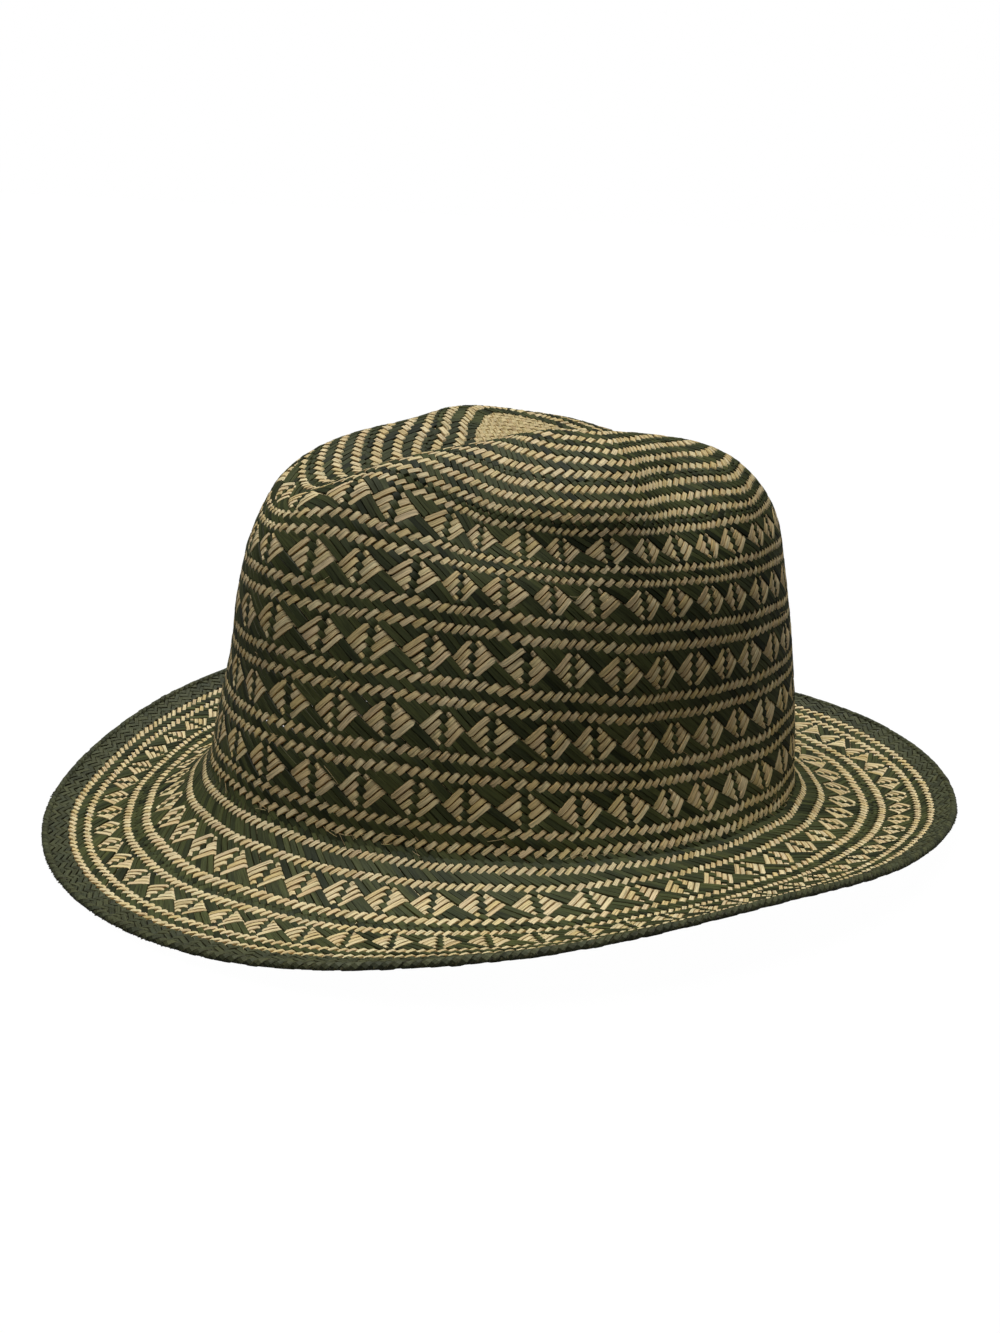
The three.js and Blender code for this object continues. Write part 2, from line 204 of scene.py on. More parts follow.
def brim_surface(share, bearing):
    """A parabola through the heights of break, middle and edge, laid out from the oval."""
    heights = through(ROUND_KEYS, ROUND_HEIGHTS, np.degrees(bearing) % 360)
    middle, edge = heights[..., 0], heights[..., 1]
    z = (4 * middle - edge) * share + (2 * edge - 4 * middle) * share**2
    over = share * brim_width(bearing)
    x, y = head_oval(bearing, np.sqrt(np.maximum(over**2 - BRIM_FORESHORTENING * z**2, 0)))
    return np.stack([x, y, z], -1)


# %% The whole sheet, as the hat stands
TIP_ANGLE = np.radians(-3.80749)
STANDING_SHIFT = np.array([0.16068, 2.26918, -13.61652])


def sharp_sheet(way, bearing):
    """The crown where the way is negative and the brim where it is positive."""
    crown_part = crown_surface(np.maximum(-way, 0) / MERIDIAN, bearing)
    brim_part = brim_surface(np.maximum(way, 0) / brim_width(bearing), bearing)
    return np.where((way < 0)[..., None], crown_part, brim_part)


def hat_sheet(way, bearing):
    """The sheet with its break rounded by a parabola, tipped forward to how it stands."""
    flat_way, flat_bearing = (np.ravel(v) for v in np.broadcast_arrays(way, bearing))
    places = sharp_sheet(flat_way, flat_bearing)
    soft = np.flatnonzero(np.abs(flat_way) < BREAK_ROUNDING)
    u = ((flat_way[soft] + BREAK_ROUNDING) / (2 * BREAK_ROUNDING))[:, None]
    inner, middle, outer = (
        sharp_sheet(np.full(len(soft), at), flat_bearing[soft])
        for at in (-float(BREAK_ROUNDING), 0.0, float(BREAK_ROUNDING))
    )
    places[soft] = inner * (1 - u) ** 2 + middle * 2 * u * (1 - u) + outer * u**2
    cos, sin = np.cos(TIP_ANGLE), np.sin(TIP_ANGLE)
    tipping = np.array([[1, 0, 0], [0, cos, -sin], [0, sin, cos]])
    stood = places @ tipping.T - STANDING_SHIFT
    return stood.reshape(*np.shape(way * bearing), 3)


# %% [markdown]
# ## Going round in even steps
#
# The strands are all of one width, so they are set round the head at even distances and not at
# even angles. On an oval the two differ by a tenth. We measure the oval once, and then look up
# the bearing of any share of a turn.

# %% Measure the oval
fine_bearings = np.linspace(0, 2 * np.pi, 1441)
oval_points = np.stack(head_oval(fine_bearings, 0), -1)
oval_steps = np.linalg.norm(np.diff(oval_points, axis=0), axis=1)
oval_shares = np.concatenate([[0], np.cumsum(oval_steps)]) / oval_steps.sum()
print("round the head:", round(float(oval_steps.sum()), 1), "mm")


def bearing_at(turn):
    """The bearing at a share of a turn, counted along the oval from the front."""
    whole = np.floor(turn)
    return 2 * np.pi * whole + np.interp(turn - whole, oval_shares, fine_bearings)


# %% [markdown]
# ## The weave chart
#
# Rows are counted upwards, towards the tip. Going up one row, a natural strand moves half a place
# to the right and a green strand half a place to the left, so at row q natural strand i crosses
# green strand i + q. A diamond is a block of five by five crossings with natural straw on top, but
# for a middle column of five single green crossings. Two rows of natural straw above and below
# make the stripes, and the whole repeats every fifteen rows. The chart is short enough to be
# written as rules.

# %% Chart rules
MOTIF = 5
BAND = 15


def banded(strand, row, middle_row):
    """Where natural straw is on top in bands of diamonds between pairs of stripes."""
    from_middle = (row - middle_row + BAND // 2) % BAND - BAND // 2
    place = strand % MOTIF
    opposite = place + from_middle
    in_block = (opposite >= 0) & (opposite < MOTIF) & (np.abs(from_middle) < MOTIF)
    diamond = in_block & (place + opposite != MOTIF - 1)
    stripe = (np.abs(from_middle) == MOTIF) | (np.abs(from_middle) == MOTIF + 1)
    return diamond | stripe


def wall_chart(strand, row):
    """Five bands of diamonds, with plain green under the lowest stripe."""
    return banded(strand, row, 0) & (row > -11)


def top_chart(strand, row):
    """Two rows of natural straw, then two of green, whatever the strand."""
    return np.broadcast_to(row % 4 < 2, np.broadcast(strand, row).shape)


def inner_brim_chart(strand, row):
    """A stripe near the break, then a band of diamonds."""
    return (banded(strand, row, -11) & (row < -3)) | (row == -1) | (row == 0)


def outer_brim_chart(strand, row):
    """A band of diamonds, and one more stripe outside it."""
    return (banded(strand, row, -26) & (row > -34)) | (row == -35) | (row == -36)


# %% [markdown]
# ## Zones
#
# A weaver adds strands as the crown widens and drops some where it narrows. Each change of number
# starts a new zone, whose first row hides the ends of the last one. A zone has a number of strands
# in each family, its lowest and highest row, and a rule that turns a row into a way on the hat.
# The rows of the crown are 1.4 mm apart. Those of the brim close up towards the edge.

# %% Rows into ways
CROWN_KEY = 182
WALL_START, WALL_ROW = 16.5, 1.4
TOP_START, TOP_ROW = 113.385, 1.43
BRIM_ROWS = np.array([-3, 0.5, 5.5, 11, 16.5, 20.5, 26, 31.5, 35.5, 43.5])
BRIM_SHARES = np.array([-0.02, 0.058, 0.179, 0.312, 0.452, 0.565, 0.663, 0.775, 0.852, 0.985])


def wall_way(row, bearing):
    """Up the wall from the lowest band."""
    return -(WALL_START + WALL_ROW * row) * MERIDIAN / CROWN_KEY


def top_way(row, bearing):
    """Over the shoulder and into the top."""
    return -(TOP_START + TOP_ROW * row) * MERIDIAN / CROWN_KEY


def brim_way(row, bearing):
    """Out over the brim, as shares of its width."""
    return through(BRIM_ROWS, BRIM_SHARES, -row) * brim_width(bearing)


# The rows of the wall, and how many places the weave has slipped to the left by each
WALL_LEAN = np.array([[-12, 0, 15, 30, 45, 60, 67], [0, -0.2, -1.3, -1.7, -2.1, -3.8, -4.2]])

# Shares of a turn, and how many places the inner brim's strands are shifted at each
INNER_STRETCH = np.array([
    [-0.5, -0.05, 0.184, 0.26, 0.44, 0.5], [0.8, 1.25, -1.35, 0.2, 1.2, 0.8],
])

# Strands on the top lie looser and look fuller, which is what puffy stands for
ZONES = {
    "wall": dict(
        count=175, low=-12, high=67, phase=0.0, chart=wall_chart, way=wall_way, lean=WALL_LEAN),
    "shoulder": dict(
        count=160, low=-1, high=10, phase=0.0, chart=top_chart, way=top_way, puffy=True),
    "top": dict(
        count=128, low=11, high=22, phase=0.0, chart=top_chart, way=top_way, puffy=True),
    "round_tip": dict(
        count=96, low=23, high=31, phase=0.0, chart=top_chart, way=top_way, puffy=True),
    "inner_brim": dict(
        count=245, low=-18, high=2, phase=0.0, chart=inner_brim_chart, way=brim_way,
        stretch=INNER_STRETCH),
    "outer_brim": dict(
        count=315, low=-36, high=-19, phase=2.35, chart=outer_brim_chart, way=brim_way),
}
print("strands in each family:", {name: zone["count"] for name, zone in ZONES.items()})

# %% [markdown]
# ## From chart to strands
#
# A strand is a flat ribbon. Along it we only need a section where it starts to rise or dip, and one
# in the middle of a short float, where it bulges. The lists below hold three candidates for each
# crossing and keep those that matter. The section has four corners: two edges, and two on top that
# make it slightly crowned, like split straw.

# %% Sections of a strand
# In millimetres: the middle of the sheet below the surface, a strand's rise and dip from there, how
# much a float bulges in its middle, the straw's thickness, and how far a strand's end is tucked in
SHEET_DEPTH, WEAVE_RISE, BULGE, STRAW_THICKNESS, END_DIP = 0.65, 0.25, 0.1, 0.52, 0.5
# In rows: how long a strand holds its height on each side of a crossing, and past the last row
NATURAL_HALF, GREEN_HALF, PUFFY_HALF, END_REACH = 0.13, 0.42, 0.24, 0.85
# In places for each row: how a float turns about its middle
FLOAT_TURN = 0.08
# The greatest unevenness of the handwork, in places along a row and in rows
SLIP, SWING = 1.1, 0.45


def strand_sections(zone, natural):
    """Strand number, row, height and sidestep of each section kept, in order along strands.

    Where natural straw is on top, both strands hold their height only close to the crossing, and
    where green is on top for most of it, because the green strands are the wider ones. A float
    also turns a little anticlockwise about its middle, by a sidestep in proportion to the rows.
    """
    rows = np.arange(zone["low"], zone["high"] + 1)
    number = np.arange(zone["count"])[:, None]
    strand = number if natural else number - rows
    natural_over = np.broadcast_to(zone["chart"](strand, rows), (zone["count"], len(rows)))
    over = natural_over == natural
    padded = np.pad(over, ((0, 0), (1, 1)), mode="edge")
    starts, ends = over != padded[:, :-2], over != padded[:, 2:]
    starts[:, 0], ends[:, -1] = True, True
    begin = np.maximum.accumulate(np.where(starts, rows, -np.inf), axis=1)
    finish = np.minimum.accumulate(np.where(ends, rows, np.inf)[:, ::-1], axis=1)[:, ::-1]
    inside = ~starts & ~ends | (starts & ends & over)
    keep = np.stack([starts, inside, ends], -1)
    natural_half = PUFFY_HALF if zone.get("puffy") else NATURAL_HALF
    half = np.where(natural_over, natural_half, GREEN_HALF)[..., None] * np.array([-1, 0, 1])
    place = rows[None, :, None] + half
    height = np.where(over, WEAVE_RISE, -WEAVE_RISE)[..., None]
    height = height + np.array([0, 1, 0]) * (over * BULGE)[..., None]
    aside = -FLOAT_TURN * (place - ((begin + finish) / 2)[..., None]) * over[..., None]

    def with_ends(at_start, table, at_end):
        tip = np.ones((zone["count"], 1))
        return np.hstack([at_start * tip, table.reshape(zone["count"], -1), at_end * tip])

    place = with_ends(rows[0] - END_REACH, place, rows[-1] + END_REACH)
    height = with_ends(-END_DIP, height, -END_DIP)
    aside = with_ends(0, aside, 0)
    which, column = np.nonzero(with_ends(1, keep, 1))
    return which, place[which, column], height[which, column], aside[which, column]


WAVES, FEWEST_ROUND, MOST_ROUND, MOST_DRIFT = 6, 4, 19, 0.12


def uneven(turn, row, seed):
    """Handwork is never even: the mean of long waves round the hat, cos(2 pi k turn + c row)."""
    draw = np.random.default_rng(seed)
    rounds = draw.integers(FEWEST_ROUND, MOST_ROUND, WAVES)
    drifts = draw.uniform(-MOST_DRIFT, MOST_DRIFT, WAVES)
    starts = draw.uniform(0, 2 * np.pi, WAVES)
    waves = zip(rounds, drifts, starts)
    return sum(np.cos(2 * np.pi * k * turn + c * row + start) for k, c, start in waves) / WAVES


def braid_chart(zone):
    """The zone's chart: a row and a place along it become a way and a bearing."""
    def chart(row, place):
        lean = through(*zone["lean"], row) if "lean" in zone else 0.0
        turn = (place + zone["phase"] + lean) / zone["count"]
        if "stretch" in zone:
            turn = turn + through(*zone["stretch"], (turn + 0.5) % 1 - 0.5) / zone["count"]
        slip, swing = SLIP * uneven(turn, row, 3), SWING * uneven(turn, row, 4)
        bearing = bearing_at(turn + slip / zone["count"])
        return zone["way"](row + swing, bearing), bearing
    return chart


# %% Ribbons along the sections
SECTION_ACROSS = np.array([1, 0.76, -0.76, -1])
SECTION_UP = np.array([-0.5, 0.5, 0.5, -0.5])
SMALL = 0.05
# No two straws are alike: the spread and the limits of width, height and place beside the others
WIDTH_SPREAD, WIDTH_LEAST, WIDTH_MOST = 0.09, -0.12, 0.2
LIFT_SPREAD, SIDE_SPREAD, SIDE_MOST = 0.05, 0.05, 0.08


def ribbon(chart, which, row, place, height, course, pitch, fill, seed, thickness=STRAW_THICKNESS):
    """Four corners at each section: across the strand by its spacing, and up by its height.

    course is the strand's direction on the chart, and pitch leads to the next strand. Both are
    turned into directions on the hat by small steps, and their cross product is the outward side.
    fill is the strand's mean width as a share of its spacing. Each strand has a width, a height, a
    place beside the others and a tone of its own.
    """
    def step(direction):
        ahead = hat_sheet(*chart(row + SMALL * direction[0], place + SMALL * direction[1]))
        behind = hat_sheet(*chart(row - SMALL * direction[0], place - SMALL * direction[1]))
        return (ahead - behind) / (2 * SMALL)

    along, beside = step(course), step(pitch)
    outward = np.cross(beside, along)
    outward /= np.linalg.norm(outward, axis=1, keepdims=True)
    along /= np.linalg.norm(along, axis=1, keepdims=True)
    spacing = np.linalg.norm(np.cross(along, beside), axis=1)
    across = np.cross(outward, along)
    draw = np.random.default_rng(seed)
    strands = which.max() + 1
    odd_width = np.clip(draw.normal(0, WIDTH_SPREAD, strands), WIDTH_LEAST, WIDTH_MOST)
    width = fill * (1 + odd_width)[which]
    lift = height + draw.normal(0, LIFT_SPREAD, strands)[which]
    side = np.clip(draw.normal(0, SIDE_SPREAD, strands), -SIDE_MOST, SIDE_MOST)[which] * spacing
    tone = draw.random(strands)[which]
    centre = hat_sheet(*chart(row, place))
    centre = centre + outward * (lift - SHEET_DEPTH)[:, None] + across * side[:, None]
    half = (width * spacing / 2)[:, None, None]
    corners = (
        centre[:, None]
        + across[:, None] * SECTION_ACROSS[:, None] * half
        + outward[:, None] * (SECTION_UP * thickness)[:, None]
    )
    length = np.linalg.norm(np.diff(centre, axis=0, prepend=centre[:1]), axis=1)
    return dict(corners=corners, which=which, tone=tone, length=length)


def gather(ribbons):
    """Puts several sets of ribbons one after another, with strand numbers that don't repeat."""
    offsets = np.cumsum([0] + [r["which"].max() + 1 for r in ribbons])
    which = np.concatenate([r["which"] + o for r, o in zip(ribbons, offsets)])
    rest = {k: np.concatenate([r[k] for r in ribbons]) for k in ("corners", "tone", "length")}
    return dict(which=which, **rest)


# %% [markdown]
# ## A flat place for every strand
#
# When the hat is exported, its colours are painted into a flat picture, and each face needs a place
# there. Unwrapping thousands of ribbons by the usual tools is slow and wastes most of the picture.
# A ribbon is already a long strip, so we lay the strips end to end in lanes, like planks, and
# keep these places in the map named OFBake.

# %% Strips for the baked picture
# Shares of a lane's height for the right side, the top, the left side and the bottom of a strand
STRIP_BANDS = np.array([0.04, 0.16, 0.58, 0.7, 0.96])
# In millimetres: the gap between strips, and the height of a lane
STRIP_GAP, STRIP_HEIGHT = 0.8, 3.0
# Shares of a lane's height between which the end faces lie
CAP_LOW, CAP_HIGH = 0.2, 0.5


def strips(run, strand, last):
    """Every strand as a straight strip, several end to end in a lane, and lanes above each other.

    A lane is as long as the side of a square that holds all strips. Strands that go equally often
    into a lane share lanes. The result is the place along the lane, 0 to 1, and the lane number.
    """
    length = run[last] + 2 * STRIP_GAP
    lane_length = max(length.max(), np.sqrt(STRIP_HEIGHT * length.sum()))
    times_into_lane = (lane_length // length).astype(int)
    kinds, kind, counts = np.unique(times_into_lane, return_inverse=True, return_counts=True)
    place = np.empty(len(length), int)
    place[np.argsort(kind, kind="stable")] = np.arange(len(length))
    place -= (np.cumsum(counts) - counts)[kind]
    lanes = -(-counts // kinds)
    lane = (np.cumsum(lanes) - lanes)[kind] + place // kinds[kind]
    start = (place % kinds[kind]) / kinds[kind] + STRIP_GAP / lane_length
    return start[strand] + run / lane_length, lane[strand], lanes.sum(), STRIP_GAP / 2 / lane_length


def strip_map(run, strand, first, last, from_section):
    """The strip places of all face corners, in the order in which mesh_of lists the faces."""
    along, lane, lanes, cap = strips(run, strand, last)
    sides = len(STRIP_BANDS) - 1
    low, high = STRIP_BANDS[:-1], STRIP_BANDS[1:]
    u = along[from_section][:, None, None] * np.ones((sides, 1)) * [1, 1, 0, 0]
    u = u + along[from_section + 1][:, None, None] * np.ones((sides, 1)) * [0, 0, 1, 1]
    v = lane[from_section][:, None, None] + np.stack([low, high, high, low], -1)
    square = np.array([[0, CAP_LOW], [cap, CAP_LOW], [cap, CAP_HIGH], [0, CAP_HIGH]])
    end_cap = np.stack([along[last], lane[last]], -1)[:, None] + [cap / 2, 0] + square
    start_cap = np.stack([along[first], lane[first]], -1)[:, None] - [cap * 1.5, 0] + square
    places = (np.stack([u, v], -1), end_cap, start_cap)
    return np.concatenate([part.reshape(-1, 2) for part in places]) / [1, lanes]


# %% [markdown]
# ## From strands to a mesh
#
# All sections have the same four corners, so the faces follow from counting: four quads between
# each section and the next of the same strand, and one quad over each end. The fibre attribute
# keeps the place across the strand, the length along it and the strand's own number between 0
# and 1, which the material needs for its grain and its colour.

# %% Mesh of ribbons
MM = 0.001
SHARP_FROM = np.radians(32)


def mesh_of(name, ribbons):
    """A mesh of closed ribbons, in metres, with the fibre attribute and smooth faces."""
    corners, which = ribbons["corners"], ribbons["which"]
    count, sides = corners.shape[:2]
    first = np.flatnonzero(np.r_[True, which[1:] != which[:-1]])
    last = np.flatnonzero(np.r_[which[1:] != which[:-1], True])
    from_section = np.flatnonzero(which[1:] == which[:-1])
    here = from_section[:, None] * sides + np.arange(sides)
    turn = from_section[:, None] * sides + (np.arange(sides) + 1) % sides
    walls = np.stack([here, turn, turn + sides, here + sides], -1).reshape(-1, sides)
    order = np.arange(sides)
    end_faces, start_faces = last[:, None] * sides + order, first[:, None] * sides + order[::-1]
    quads = np.concatenate([walls, end_faces, start_faces])
    vertices = corners.reshape(-1, 3) * MM
    vertices[:, 2] = np.maximum(vertices[:, 2], 0)
    mesh = bpy.data.meshes.new(name)
    mesh.vertices.add(len(vertices))
    mesh.vertices.foreach_set("co", vertices.ravel())
    mesh.loops.add(quads.size)
    mesh.loops.foreach_set("vertex_index", quads.ravel().astype(np.int32))
    mesh.polygons.add(len(quads))
    mesh.polygons.foreach_set("loop_start", np.arange(0, quads.size, 4, dtype=np.int32))
    mesh.update(calc_edges=True)
    mesh.polygons.foreach_set("use_smooth", np.ones(len(quads), bool))
    mesh.set_sharp_from_angle(angle=SHARP_FROM)
    run = np.cumsum(ribbons["length"])
    strand = np.searchsorted(first, np.arange(count), side="right") - 1
    run -= run[first][strand]
    bake_places = strip_map(run, strand, first, last, from_section)
    mesh.uv_layers.new(name="OFBake").data.foreach_set("uv", bake_places.astype(np.float32).ravel())
    fibre = np.stack([
        np.tile(SECTION_ACROSS, count), np.repeat(run, sides), np.repeat(ribbons["tone"], sides),
    ], -1)
    mesh.attributes.new("fibre", "FLOAT_VECTOR", "POINT").data.foreach_set(
        "vector", fibre.astype(np.float32).ravel())
    piece = bpy.data.objects.new(name, mesh)
    bpy.context.scene.collection.objects.link(piece)
    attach(piece, "root")
    print(name, "has", 2 * len(quads), "triangles")
    return piece


# %% [markdown]
# ## Weaving the crown and the brim
#
# The green strands are a little wider than their spacing, so that they close the sheet, and the
# natural ones a little narrower, so that each keeps its own outline. Where the wall meets the
# brim, the hatter's cord has pressed the braid in, and this leaves a dark line.

# %% Weave the zones
NATURAL_COURSE, GREEN_COURSE, PITCH = (1, 0.5), (1, -0.5), (0, 1)
NATURAL_FILL, GREEN_FILL, PUFFY_FILL = 0.94, 1.12, 1.0
GROOVE_DEPTH = 0.9
GROOVE_ROWS = {"wall": (-9.8, -11.6), "inner_brim": (0.6, 2.4)}


def break_groove(name, row):
    """The depth times a smooth step between the rows where the groove starts and is full."""
    return GROOVE_DEPTH * smooth_step(*GROOVE_ROWS[name], row) if name in GROOVE_ROWS else 0.0


def woven(names, natural):
    """One family of strands of the named zones."""
    parts = []
    for name in names:
        zone = ZONES[name]
        which, row, height, aside = strand_sections(zone, natural)
        course = NATURAL_COURSE if natural else GREEN_COURSE
        place = which + course[1] * row + aside
        height = height - break_groove(name, row)
        seed = sum(map(ord, name)) + natural
        natural_fill = PUFFY_FILL if zone.get("puffy") else NATURAL_FILL
        fill = natural_fill if natural else GREEN_FILL
        parts.append(ribbon(
            braid_chart(zone), which, row, place, height, course, PITCH, fill, seed))
    return gather(parts)


CROWN_ZONES = ("wall", "shoulder", "top", "round_tip")
BRIM_ZONES = ("inner_brim", "outer_brim")
crown_natural = mesh_of("crown_natural_strands", woven(CROWN_ZONES, True))
crown_green = mesh_of("crown_green_strands", woven(CROWN_ZONES, False))
brim_natural = mesh_of("brim_natural_strands", woven(BRIM_ZONES, True))
brim_green = mesh_of("brim_green_strands", woven(BRIM_ZONES, False))
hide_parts("crown")
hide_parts("brim")

# %% [markdown]
# ## Loose fibres
#
# Where the braid is bent hard, at the break, a few straws split and fine fibres stand off. Most of
# them lie near the break and some are scattered over the wall. Each is a thin ribbon along a row
# that wanders off it, and its height over the sheet is a low arch.

# %% Let some fibres stand off
FIBRES = 130
FIBRE_STEPS = np.linspace(0, 1, 8)
NEAR_BREAK, OVER_WALL = (-11.6, -8.6), (-8, 48)
ROW_DRIFT, ROW_CURL, FIBRE_REACH, PLACE_CURL = 2.2, 1.2, (0.4, 1.8), 0.7
STAND_OFF, ARCH, KICK_UP = 0.45, (0.4, 2.4), (0, 0.8)
FIBRE_FILL, FIBRE_THICKNESS = 0.1, 0.1


def loose_fibres():
    """For a share s along a fibre, the height is a + b s (1 - s) + c s^3, and row and place
    drift as d s + e s^2. Two fibres of three lie near the break."""
    which = np.repeat(np.arange(FIBRES), len(FIBRE_STEPS))
    s = np.tile(FIBRE_STEPS, FIBRES)
    draw = np.random.default_rng(31)

    def each(low, high):
        return draw.uniform(low, high, FIBRES)[which]

    row = np.where(which % 3 > 0, each(*NEAR_BREAK), each(*OVER_WALL))
    row = row + each(-ROW_DRIFT, ROW_DRIFT) * s + each(-ROW_CURL, ROW_CURL) * s**2
    place = each(0, ZONES["wall"]["count"])
    place = place + each(*FIBRE_REACH) * s + each(-PLACE_CURL, PLACE_CURL) * s**2
    height = STAND_OFF + each(*ARCH) * s * (1 - s) + each(*KICK_UP) * s**3
    return ribbon(braid_chart(ZONES["wall"]), which, row, place, height,
                  (0, 1), (-1, 0), FIBRE_FILL, 32, thickness=FIBRE_THICKNESS)


fibres = mesh_of("loose_fibres", loose_fibres())

# %% [markdown]
# ## The tip
#
# The weave starts at the tip as a small field of fine natural straw, before it turns into the
# round. It is a plain weave, over one and under one, on a grid that is laid over the pole of the
# surface: the distance from the pole and the direction become a way and a bearing. The rim of the
# field dips, so that the first rows of the round lie over it.

# %% Weave the tip
TIP_REACH, TIP_PITCH, TIP_HALF, TIP_FILL = 26.0, 1.5, 0.27, 0.94
TIP_RISE, TIP_BULGE, TIP_RIM, TIP_DIP = 0.2, 0.09, 3.5, 0.5


def tip_chart(row, place):
    """A square grid round the pole of the surface, in units of the pitch."""
    x, y = place * TIP_PITCH, row * TIP_PITCH
    return -(MERIDIAN - np.hypot(x, y)), np.arctan2(x, -y)


def tip_family(first_way):
    """Straight strands over the round field, over one and under one."""
    half = int(TIP_REACH / TIP_PITCH)
    numbers = np.arange(-half, half + 1)
    number, cross = np.meshgrid(numbers, numbers, indexing="ij")
    inside = np.hypot(number, cross) * TIP_PITCH < TIP_REACH
    over = ((number + cross) % 2 == 0) == first_way
    keep = np.stack([inside & over, inside, inside & over], -1)
    place = cross[..., None] + np.array([-TIP_HALF, 0, TIP_HALF])
    height = np.where(over, TIP_RISE, -TIP_RISE)[..., None]
    height = height + np.array([0, TIP_BULGE, 0]) * over[..., None]
    at, column, third = np.nonzero(keep)
    run, strand = place[at, column, third], (at - half).astype(float)
    lift = height[at, column, third]
    from_pole = np.hypot(run, strand) * TIP_PITCH
    lift = lift - TIP_DIP * smooth_step(TIP_REACH - TIP_RIM, TIP_REACH, from_pole)
    _, which = np.unique(at, return_inverse=True)
    if first_way:
        return ribbon(tip_chart, which, run, strand, lift, (1, 0), (0, 1), TIP_FILL, 5)
    return ribbon(tip_chart, which, strand, run, lift, (0, 1), (-1, 0), TIP_FILL, 6)


tip_strands = mesh_of("tip_strands", gather([tip_family(True), tip_family(False)]))
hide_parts("crown_tip")

# %% [markdown]
# ## The edge
#
# Outside the last stripe both families are green. At the very edge the strands are turned back
# and rolled into a firm cord, bound by slanting turns.

# %% Weave the green edge
def edge_chart(strand, row):
    """A plain twill: over two and under two, one step further in each row."""
    return (2 * strand + row) % 4 < 2


EDGE_ZONE = dict(count=314, low=-43, high=-37, phase=0.0, chart=edge_chart, way=brim_way)
EDGE_FILL = 1.0


def edge_family(first_way):
    """The edge zone's strands of one direction."""
    which, row, height, aside = strand_sections(EDGE_ZONE, first_way)
    course = NATURAL_COURSE if first_way else GREEN_COURSE
    return ribbon(braid_chart(EDGE_ZONE), which, row, which + course[1] * row + aside, height,
                  course, PITCH, EDGE_FILL, 11 + first_way)


edge_strands = mesh_of("edge_strands", gather([edge_family(True), edge_family(False)]))

# %% Roll the edge cord
# How many turns bind the cord, how far each reaches round it in radians, and its sections
CORD_TURNS, CORD_REACH, CORD_SECTIONS = 360, 2.5, 9
# In millimetres: the radius to the middle of the straw, its half width and thickness, and how far
# the cord's axis lies under the sheet and inside the brim's edge
TURN_RADIUS, TURN_HALF, TURN_THICKNESS, CORD_UNDER, CORD_INSIDE = 0.85, 0.95, 0.4, 0.75, 0.9
# A turn moves on by a share of its spacing for each radian, and its straw slants along the edge
CORD_LEAD, CORD_SLANT = 0.55, 0.75
TURN_WIDTH_SPREAD, TURN_RADIUS_SPREAD = 0.12, 0.08
# Small steps in millimetres and in radians, by which the edge's directions are measured
JUST_INSIDE, JUST_OUTSIDE, JUST_ON = 0.2, 0.3, 0.01


def cord_turns():
    """Ribbons wound slantwise round the edge: at an angle a from outwards, a section lies at
    axis + r (out cos a + up sin a), and the axis moves on along the edge in proportion to a."""
    steps = np.linspace(-CORD_REACH, CORD_REACH, CORD_SECTIONS)
    which = np.repeat(np.arange(CORD_TURNS), CORD_SECTIONS)
    angle = np.tile(steps, CORD_TURNS)
    bearing = bearing_at((which + CORD_LEAD * angle) / CORD_TURNS)
    inner, outer = brim_width(bearing) - JUST_INSIDE, brim_width(bearing) + JUST_OUTSIDE
    at = hat_sheet(inner, bearing)
    out = hat_sheet(outer, bearing) - at
    out /= np.linalg.norm(out, axis=1, keepdims=True)
    run = hat_sheet(inner, bearing + JUST_ON) - hat_sheet(inner, bearing - JUST_ON)
    run /= np.linalg.norm(run, axis=1, keepdims=True)
    top = np.cross(out, run)
    axis = at - top * CORD_UNDER
    radial = out * np.cos(angle)[:, None] + top * np.sin(angle)[:, None]
    around = top * np.cos(angle)[:, None] - out * np.sin(angle)[:, None]
    along = around + CORD_SLANT * run
    along /= np.linalg.norm(along, axis=1, keepdims=True)
    across = np.cross(radial, along)
    draw = np.random.default_rng(21)
    tone = draw.random(CORD_TURNS)[which]
    wide = (TURN_HALF * (1 + draw.normal(0, TURN_WIDTH_SPREAD, CORD_TURNS)))[which]
    bulge = draw.normal(0, TURN_RADIUS_SPREAD, CORD_TURNS)[which]
    centre = axis + radial * (TURN_RADIUS + bulge)[:, None] - out * CORD_INSIDE
    corners = (
        centre[:, None]
        + across[:, None] * SECTION_ACROSS[:, None] * wide[:, None, None]
        + radial[:, None] * (SECTION_UP * TURN_THICKNESS)[:, None]
    )
    length = np.linalg.norm(np.diff(centre, axis=0, prepend=centre[:1]), axis=1)
    return dict(corners=corners, which=which, tone=tone, length=length)


edge_cord = mesh_of("edge_cord", cord_turns())
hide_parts("brim_edge")


# %% [markdown]
# ## Straw
#
# Split straw has fine fibres along it, a slight sheen, and a colour that differs from strand to
# strand. Towards its edges each strand is darkened to a warm brown, painted shade so that dark
# lines stay between strands that touch. One node group makes all this from the fibre attribute,
# and each material gives it its own colours: natural, green, a greyer, paler green at the edge
# with painted sheen, and the finer, paler straw of the tip.

# %% The straw grain group
def new_group(name, inputs, outputs):
    """An empty node group with named sockets, as (name, kind, default)."""
    group = bpy.data.node_groups.new(name, "ShaderNodeTree")
    for socket, kind, default in inputs:
        made = group.interface.new_socket(socket, in_out="INPUT", socket_type=kind)
        made.default_value = default
    for socket, kind in outputs:
        group.interface.new_socket(socket, in_out="OUTPUT", socket_type=kind)
    return group, group.nodes.new("NodeGroupInput"), group.nodes.new("NodeGroupOutput")


def node(tree, kind, **settings):
    """Adds a node and sets the named properties."""
    made = tree.nodes.new(kind)
    for name, value in settings.items():
        setattr(made, name, value)
    return made


